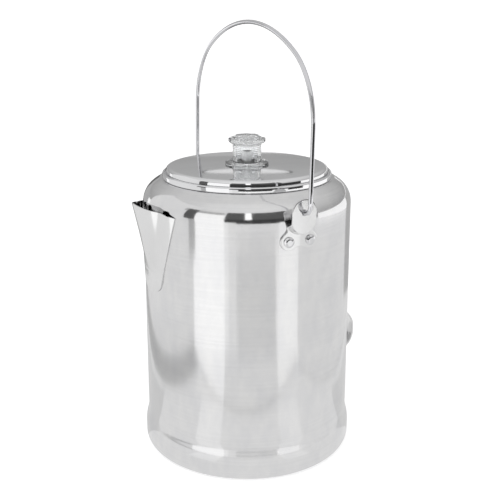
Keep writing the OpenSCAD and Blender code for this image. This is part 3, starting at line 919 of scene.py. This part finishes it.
def bail_path():
    """Half of the wire's middle line, from the pin's head to the crown, and the wire's radius there.
    The haunch's arc joins the straight leg smoothly to the crown's larger arc."""
    rise = BAIL_TOP_Z - SPRING_Z
    haunch_r = (CROWN_R ** 2 - HALF_SPAN ** 2 - (rise - CROWN_R) ** 2) / (2 * (CROWN_R - HALF_SPAN))
    haunch_y, crown_z = HALF_SPAN - haunch_r, BAIL_TOP_Z - CROWN_R
    turn = math.degrees(math.atan2(SPRING_Z - crown_z, haunch_y))
    across, along = PIN_HEAD_ROUND
    path = [(PIN_END, PIVOT_Z, PIN_HEAD_R - across), (PIN_END + along, PIVOT_Z, PIN_HEAD_R),
            (PIN_END + PIN_HEAD_H - along, PIVOT_Z, PIN_HEAD_R), (PIN_END + PIN_HEAD_H, PIVOT_Z, WIRE_R)]

    def arc(y, z, radius, angles):
        path.extend((y + radius * cos(angle), z + radius * sin(angle), WIRE_R) for angle in angles)

    leg_z = PIVOT_Z + PIN_BEND
    arc(HALF_SPAN - PIN_BEND, leg_z, PIN_BEND, range(-90, 1, 6))
    path += [(HALF_SPAN, leg_z + (SPRING_Z - leg_z) * k / LEG_STEPS, WIRE_R) for k in range(1, LEG_STEPS + 1)]
    arc(haunch_y, SPRING_Z, haunch_r, [turn * k / ARC_STEPS for k in range(1, ARC_STEPS + 1)])
    arc(0, crown_z, CROWN_R, [turn + (90 - turn) * k / ARC_STEPS for k in range(1, ARC_STEPS + 1)])
    return path


def make_bail():
    half = bail_path()
    whole = half + [(-y, z, r) for y, z, r in half[-2::-1]]
    sides = 28

    def section(i, k):
        radius = whole[i][2]
        return radius * cos(360 * k / sides), radius * sin(360 * k / sides)

    bail = sweep("bail_handle_fine", [Vector((0, y, z)) for y, z, r in whole], sides, section, sharp=50)
    lean = Matrix.Translation((0, 0, PIVOT_Z * MM)) @ Matrix.Rotation(math.radians(BAIL_LEAN), 4, "Y")
    place(bail, lean @ Matrix.Translation((0, 0, -PIVOT_Z * MM)))
    install(bail, "bail_handle")


# ---------------------------------------------------------------- tilt handle

TILT_Z = 84
TILT_LOOP_R = 21.5
TILT_CORNER = 18.4
TILT_FOOT_BEND = 1
TILT_HALF = 7           # half the strap's width, and the radius of its round feet
TILT_WALL = 1.8
TILT_EDGE = 0.5
TILT_RIVET_SIDE = 29


def make_tilt_handle():
    """One strap: from the upper round foot out into the finger loop, and back to the lower foot."""
    middle, end = TILT_LOOP_R - TILT_WALL / 2, TILT_RIVET_SIDE + TILT_HALF
    on_wall = TILT_WALL / 2 + SEAT_GAP
    foot = [(on_wall, end - TILT_HALF * (1 - cos(angle))) for angle in range(6, 90, 12)]
    corners = [*foot, (on_wall, middle, TILT_FOOT_BEND), (middle, middle, TILT_CORNER)]
    corners += [(x, -z, *radius) for x, z, *radius in reversed(corners)]
    path = rounded(corners, step=5)
    # the strap's rounded oblong section: each side's corner, and its direction on that corner's round
    sides = []
    for corner, first in (((1, 1), 0), ((-1, 1), 90), ((-1, -1), 180), ((1, -1), 270)):
        sides += [(corner, (cos(first + step), sin(first + step))) for step in (0, 30, 60, 90)]

    def section(i, k):
        x, z = path[i]
        past = max(0, abs(z) - TILT_RIVET_SIDE)
        half = math.sqrt(max(TILT_HALF ** 2 - past ** 2, 0.3))
        corner, turned = sides[k]
        across = corner[0] * (half - TILT_EDGE) + TILT_EDGE * turned[0]
        out = corner[1] * (TILT_WALL / 2 - TILT_EDGE) + TILT_EDGE * turned[1]
        on_pot = smooth((4 - x) / 3)        # the feet are bent to the pot's wall
        return across, out + on_pot * across ** 2 / (2 * WALL_LOW_R)

    base = wall_r(TILT_Z)
    middle_line = [Vector((base + x, 0, TILT_Z + z)) for x, z in path]
    install(sweep("tilt_handle_fine", middle_line, len(sides), section), "tilt_handle")


# ---------------------------------------------------------------- lid and knob

LID_SHEET = 1.1
LID_HOLE_R = 11.4
LID_HEM_H = 5
LID_GROOVE = 1.9        # depth of the groove between the hem and the raised top
LID_EDGE_ROUND = 3.4
LID_CROWN = 1           # the top rises this much from its edge to its flat middle
LID_FLAT_R = 22
LID_FLAT_ROUND = 60
NOTCH_R = 14.6
NOTCH_HALF_TURN = 25
lid_low, lid_high = span("lid")
lid_r = lid_high.x
lid_top = lid_high.z
seat_z = ledge_z + SEAT_GAP
plug_r = MOUTH_R - 0.3


def lid_outline():
    """From the ledge round the hem, over the groove and the top to the knob's hole, and back in the plug."""
    edge_r, edge_z, hem_z = plug_r - 0.3, lid_top - LID_CROWN, seat_z + LID_HEM_H
    groove_z = hem_z - LID_GROOVE
    outer = rounded([
        (plug_r, seat_z), (lid_r, seat_z, 0.7), (lid_r, hem_z, 1.7), (plug_r + 1.5, hem_z, 0.8),
        (plug_r + 1.1, groove_z, 0.4), (plug_r + 0.4, groove_z, 0.3), (edge_r, edge_z, LID_EDGE_ROUND),
        (LID_FLAT_R, lid_top, LID_FLAT_ROUND), (LID_HOLE_R, lid_top)], step=6)
    inner = rounded([
        (LID_HOLE_R, lid_top - LID_SHEET), (LID_FLAT_R, lid_top - LID_SHEET, LID_FLAT_ROUND),
        (edge_r - LID_SHEET, edge_z - LID_SHEET, LID_EDGE_ROUND - LID_SHEET),
        (plug_r - LID_SHEET, lid_low.z), (plug_r, lid_low.z)], step=6)
    return outer + inner


def make_lid():
    def notched(r, z, azimuth):
        off_notch = abs((azimuth + 90) % 180 - 90)
        return NOTCH_R if r < LID_HOLE_R + 0.1 and off_notch < NOTCH_HALF_TURN else r

    install(lathe("lid_fine", lid_outline(), 288, notched), "lid")


KNOB_PLUG_R = LID_HOLE_R - 0.3
KNOB_LUG_R = 14.1
KNOB_LUG_H = 2.05
LUG_HALF_TURN = 20
KNOB_SKIRT_R = 19.1
KNOB_SKIRT_H = 2
KNOB_SCALLOP = 0.7      # the skirt's edge is this much nearer the axis between its lobes
KNOB_NECK_R = 12.1
KNOB_NECK_END = 7.6     # this far below the top, as are the flange's lower and upper face and the facets' end
KNOB_FLANGE_R = 15.7
KNOB_FLANGE_LOW = 5.6
KNOB_FLANGE_HIGH = 2.2
KNOB_FACET_END = 3.2
KNOB_FACETS = 8
KNOB_HOLLOW_R = 9.6
KNOB_CEILING = 7        # thickness of the solid top
KNOB_RIDGE = 0.05       # fine ridges round the hollow
KNOB_RIDGE_PITCH = 1.6


def knob_outline():
    """From the plug in the lid's hole over the skirt, neck and flange to the top, and down the hollow."""
    low, top = span("lid_knob")[0].z, span("lid_knob")[1].z
    skirt = lid_top + SEAT_GAP
    outer = rounded([
        (KNOB_HOLLOW_R, low), (KNOB_PLUG_R, low, 0.3), (KNOB_PLUG_R, skirt, 0.2), (KNOB_SKIRT_R, skirt, 0.5),
        (KNOB_SKIRT_R, skirt + KNOB_SKIRT_H, 0.9), (KNOB_NECK_R, skirt + KNOB_SKIRT_H + 0.5, 5.2),
        (KNOB_NECK_R, top - KNOB_NECK_END, 1.8), (KNOB_FLANGE_R, top - KNOB_FLANGE_LOW, 1.2),
        (KNOB_FLANGE_R, top - KNOB_FLANGE_HIGH, 1.1), (KNOB_FLANGE_R - 3.4, top - 2.0, 0.4),
        (KNOB_FLANGE_R - 5.4, top, 0.4), (0, top)], step=10)
    ceiling, corner = top - KNOB_CEILING, 2
    straight_top = ceiling - corner
    hollow = [(0, ceiling + 0.6), (KNOB_HOLLOW_R - corner, ceiling), (KNOB_HOLLOW_R, straight_top)]
    count = int((straight_top - low) / (KNOB_RIDGE_PITCH / 6))
    for k in range(1, count):
        z = straight_top - (straight_top - low) * k / count
        hollow.append((KNOB_HOLLOW_R + KNOB_RIDGE * sin(360 * z / KNOB_RIDGE_PITCH), z))
    return outer + hollow


def make_knob():
    """Turned, apart from two lugs on the plug, lobes round the skirt and facets round the flange's top."""
    low, top = span("lid_knob")[0].z, span("lid_knob")[1].z
    half_facet = 180 / KNOB_FACETS

    def shaped(r, z, azimuth):
        off_lug = abs(azimuth % 180 - 90)
        if z < low + KNOB_LUG_H and r > KNOB_PLUG_R - 0.4 and off_lug < LUG_HALF_TURN:
            return KNOB_LUG_R
        if z < lid_top + 4 and r > KNOB_NECK_R + 1:
            off_lobe = (1 - cos(KNOB_FACETS * azimuth)) / 2
            return r - KNOB_SCALLOP * off_lobe * (r - KNOB_NECK_R) / (KNOB_SKIRT_R - KNOB_NECK_R)
        facet = cos(half_facet) / cos((azimuth + half_facet) % (2 * half_facet) - half_facet)
        share = smooth((z - top + KNOB_FACET_END) / 1.4) if r > 1 else 0
        return r * (1 + share * (facet - 1))

    knob = lathe("lid_knob_fine", knob_outline(), 192, shaped, sharp=14)
    install(knob, "lid_knob")


# ---------------------------------------------------------------- pump and basket

TUBE_R = 4.15
BORE_R = 3.35
BEAD_R = 5.9
BELL_HUB_R = TUBE_R + 1.1
BELL_HUB_Z = 13
BELL_KNEE_R = 26        # where the bell's cone bends out into its skirt
BELL_KNEE_H = 5.5
BELL_ROUND = 12
BELL_SHEET = 1
BELL_HOLES = 6
BELL_HOLE_R = 3
BASKET_SHEET = 0.8      # the cup and its cover are of one sheet
BASKET_R = 52
SLEEVE_R = TUBE_R + 1.05
SLEEVE_FLANGE_R = 9
COVER_DROP_R = 50.7     # the cover's middle drops into the cup
RIB_R = 47
RIB_H = 0.45
PERFORATION_R = 1.1
PERFORATED_RINGS = range(14, 43, 7)
PERFORATION_PITCH = 8.5


def perforation_cutter(z):
    """All the small holes of a floor as one cutter."""
    points, faces, sides = [], [], 24
    for r in PERFORATED_RINGS:
        count = int(2 * math.pi * r / PERFORATION_PITCH)
        for k in range(1, count + 1):
            azimuth = (k + r) * 360 / count
            start = len(points)
            x, y = r * cos(azimuth), r * sin(azimuth)
            rim = [(x + PERFORATION_R * cos(360 * j / sides), y + PERFORATION_R * sin(360 * j / sides))
                   for j in range(sides)]
            points += [(*point, height) for height in (z - 2, z + 3) for point in rim]
            low, high = range(start, start + sides), range(start + sides, start + 2 * sides)
            faces += [*strip(low, high), tuple(low)[::-1], tuple(high)]
    return solid("perforations", points, faces)


def make_pump_tube():
    """A tube with a bead pressed out of it, on which the basket's sleeve rests."""
    low, high = span("pump_tube")
    bead_z = span("basket_sleeve")[0].z - SEAT_GAP
    outside = rounded([
        (BORE_R, low.z), (TUBE_R, low.z, 0.3), (TUBE_R, bead_z - 3.2, 0.8), (BEAD_R, bead_z - 1.4, 0.9),
        (BEAD_R, bead_z, 0.5), (TUBE_R, bead_z, 0.3), (TUBE_R, high.z, 0.38),
        (BORE_R, high.z, 0.38)], step=15)
    groove = rounded([
        (BORE_R, bead_z + 0.5), (BORE_R, bead_z - 0.4, 0.6), (BORE_R + 0.9, bead_z - 1.4, 0.6),
        (BORE_R, bead_z - 2.6, 0.6), (BORE_R, bead_z - 4)], step=15)
    install(lathe("pump_tube_fine", outside + groove, 64), "pump_tube")


def make_pump_base():
    """A bell round the tube's foot, with water holes near its edge."""
    low, high = span("pump_base")
    on_tube = TUBE_R + 0.02
    outer = rounded([
        (high.x, low.z, 0.35), (high.x, low.z + BELL_SHEET, 0.35), (high.x - 4.5, low.z + BELL_SHEET, 3),
        (BELL_KNEE_R, low.z + BELL_KNEE_H, BELL_ROUND), (BELL_HUB_R + 4, BELL_HUB_Z, 5),
        (BELL_HUB_R, BELL_HUB_Z + 2, 2), (BELL_HUB_R, high.z, 0.3), (on_tube, high.z)], step=8)
    inner = rounded([
        (on_tube, BELL_HUB_Z - BELL_SHEET), (BELL_HUB_R + 3.4, BELL_HUB_Z - BELL_SHEET, 4),
        (BELL_KNEE_R - 0.6, low.z + BELL_KNEE_H - 0.9, BELL_ROUND), (high.x - 4.8, low.z, 2),
        (high.x, low.z)], step=8)
    base = lathe("pump_base_fine", outer + inner[:-1], 192)
    outward = Matrix.Translation(Vector((high.x - 12, 0, 8)) * MM)
    turns = [Matrix.Rotation(math.radians(360 * k / BELL_HOLES), 4, "Z") for k in range(BELL_HOLES)]
    cut(base, [place(rod(BELL_HOLE_R, 12), turn @ outward) for turn in turns])
    install(base, "pump_base")


def make_basket_cup():
    low, high = span("basket_cup")
    inside_r, inside_z, rim_z = BASKET_R - BASKET_SHEET, low.z + BASKET_SHEET, high.z - 2.2
    outer = rounded([
        (SLEEVE_R + 0.05, low.z), (BASKET_R, low.z, 5), (BASKET_R, rim_z, 0.4), (high.x, rim_z, 0.9),
        (high.x, high.z, 0.9), (inside_r, high.z, 0.5)], step=8)
    inner = rounded([(inside_r, high.z - 1), (inside_r, inside_z, 4.2), (SLEEVE_R + 0.05, inside_z)], step=8)
    cup = lathe("basket_cup_fine", outer + inner, 192)
    cut(cup, [perforation_cutter(low.z)])
    install(cup, "basket_cup")


def make_basket_sleeve():
    """The tube through the cup's floor, held by its flange below and a rolled collar above."""
    low, high = span("basket_sleeve")
    floor = span("basket_cup")[0].z
    inside_r, below, above = TUBE_R + 0.15, floor - 0.02, floor + BASKET_SHEET + 0.02
    collar_r, collar_z = SLEEVE_R + 1.6, floor + BASKET_SHEET + 1.2
    outline = rounded([
        (inside_r, low.z), (SLEEVE_FLANGE_R, low.z, 0.3), (SLEEVE_FLANGE_R, below, 0.3), (SLEEVE_R, below),
        (SLEEVE_R, above), (collar_r, above, 0.3), (collar_r, collar_z, 0.6), (SLEEVE_R, collar_z, 0.2),
        (SLEEVE_R, high.z, 0.4), (inside_r, high.z, 0.3)], step=15)
    install(lathe("basket_sleeve_fine", outline, 64), "basket_sleeve")


def make_cover():
    """A perforated dish with a low rib round its floor, which hangs in the cup by its rim."""
    low, high = span("basket_cover")
    hole_r, top_z, rim_z = TUBE_R + 1.4, low.z + BASKET_SHEET, high.z - BASKET_SHEET
    outline = rounded([
        (hole_r, low.z), (COVER_DROP_R, low.z, 1.2), (COVER_DROP_R, rim_z, 0.4), (high.x, rim_z, 0.3),
        (high.x, high.z, 0.35), (COVER_DROP_R - BASKET_SHEET, high.z, 0.9),
        (COVER_DROP_R - BASKET_SHEET - 0.6, top_z, 0.9), (hole_r, top_z)], step=10)
    across_rib = (2.2, 1.2, 0.6, 0, -0.6, -1.2, -2.2)
    rib = [(RIB_R + off, top_z + RIB_H * math.exp(-(off / 0.9) ** 2)) for off in across_rib]
    cover = lathe("basket_cover_fine", outline[:-1] + rib + outline[-1:], 192)
    cut(cover, [perforation_cutter(low.z)])
    install(cover, "basket_cover")


def make_cover_collar():
    low, high = span("cover_collar")
    inside_r = TUBE_R + 0.4
    outline = rounded([
        (inside_r, low.z), (high.x, low.z, 0.3), (high.x, low.z + 0.98, 0.4),
        (TUBE_R + 2.2, low.z + 1.6, 1.2), (TUBE_R + 1.6, high.z, 0.4), (inside_r, high.z, 0.3)], step=12)
    install(lathe("cover_collar_fine", outline, 64), "cover_collar")


# ---------------------------------------------------------------- the whole percolator

make_pot()
make_spout()
ear_turn = math.degrees(math.asin(EAR_RIVET_SIDE / WALL_HIGH_R))
make_ear("bail_ear_front", -90)
make_ear("bail_ear_rear", 90)
for number, azimuth in enumerate((-90 - ear_turn, -90 + ear_turn, 90 - ear_turn, 90 + ear_turn), 1):
    make_rivet(f"ear_rivet_{number}", azimuth, EAR_RIVET_Z, EAR_WALL)
make_bail()
make_tilt_handle()
for number, side in enumerate((-1, 1), 1):
    make_rivet(f"tilt_rivet_{number}", 0, TILT_Z + side * TILT_RIVET_SIDE, TILT_WALL)
make_lid()
make_knob()
make_pump_tube()
make_pump_base()
make_basket_cup()
make_basket_sleeve()
make_cover()
make_cover_collar()

add_camera()
add_floor()
add_light()
bpy.context.scene.view_settings.view_transform = "Standard"
